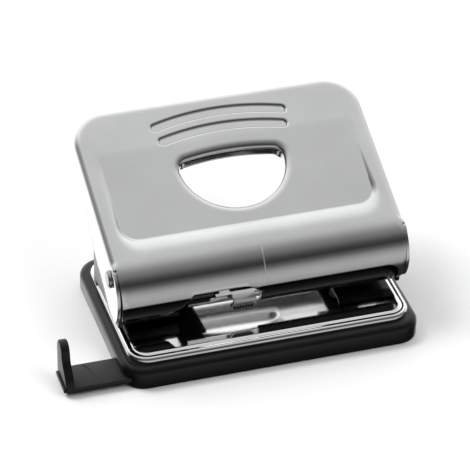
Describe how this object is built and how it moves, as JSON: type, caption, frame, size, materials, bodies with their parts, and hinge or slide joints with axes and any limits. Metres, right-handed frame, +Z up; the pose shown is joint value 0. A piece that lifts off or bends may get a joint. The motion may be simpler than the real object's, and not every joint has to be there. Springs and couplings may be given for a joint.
{
  "type": "hole punch",
  "caption": "Desktop two-hole paper punch with a pressed steel lever handle, hand hole, finger grooves, sliding paper guide and black chip tray.",
  "frame": {"origin": "centre of the tray's underside, on the table", "axes": "+X along the width, -Y towards the side the paper enters, +Z up"},
  "size_m": [0.1406, 0.0909, 0.0662],
  "materials": {
    "black_plastic": "fine moulded grain",
    "guide_plastic": "smooth moulded",
    "chrome_plate": "bright plated",
    "handle_steel": "satin plate, polished roll",
    "frame_steel": "black coated sheet",
    "axle_steel": "turned",
    "zinc_steel": "zinc plated",
    "spring_steel": "drawn wire",
    "tool_steel": "ground",
    "lock_steel": "plated sheet"
  },
  "bodies": {
    "tray": {"base_tray": "black_plastic", "tray_hinge_pins": "zinc_steel"},
    "guide": {"paper_guide": "guide_plastic"},
    "chassis": {"base_plate": "chrome_plate", "die_strip": "tool_steel", "punch_frame": "frame_steel", "frame_rivets": "zinc_steel", "hinge_axle": "axle_steel", "axle_clip": "zinc_steel", "spring_left": "spring_steel", "spring_right": "spring_steel"},
    "lever": {"handle": "handle_steel", "presser_left": "frame_steel", "presser_right": "frame_steel", "lock_studs": "zinc_steel"},
    "lock": {"lock_slider": "lock_steel"},
    "left_punch": {"punch_left": "tool_steel", "washer_left": "zinc_steel", "clip_left": "spring_steel"},
    "right_punch": {"punch_right": "tool_steel", "washer_right": "zinc_steel", "clip_right": "spring_steel"}
  },
  "joints": [
    {"name": "tray_hinge", "type": "hinge", "parent": "tray", "child": "chassis", "pos_m": [0, 0.0354, 0.0082], "axis": [-1, 0, 0], "range_deg": [0, 40]},
    {"name": "guide_slide", "type": "slide", "parent": "tray", "child": "guide", "axis": [-1, 0, 0], "range_m": [-0.018, 0.07]},
    {"name": "handle_hinge", "type": "hinge", "parent": "chassis", "child": "lever", "pos_m": [0, -0.012, 0.034], "axis": [-1, 0, 0], "range_deg": [0, 22.5], "stiffness_Nm_per_rad": 0.54, "springref_deg": -22.92},
    {"name": "left_punch_slide", "type": "slide", "parent": "chassis", "child": "left_punch", "axis": [0, 0, -1], "range_m": [0, 0.0062], "deforming": ["spring_left"]},
    {"name": "right_punch_slide", "type": "slide", "parent": "chassis", "child": "right_punch", "axis": [0, 0, -1], "range_m": [0, 0.0062], "deforming": ["spring_right"]},
    {"name": "lock_slide", "type": "slide", "parent": "lever", "child": "lock", "axis": [-1, 0, 0], "range_m": [0, 0.012]}
  ],
  "couplings": [
    {"joint": "left_punch_slide", "follows": "handle_hinge", "m_per_rad": 0.0149},
    {"joint": "right_punch_slide", "follows": "handle_hinge", "m_per_rad": 0.0149}
  ]
}
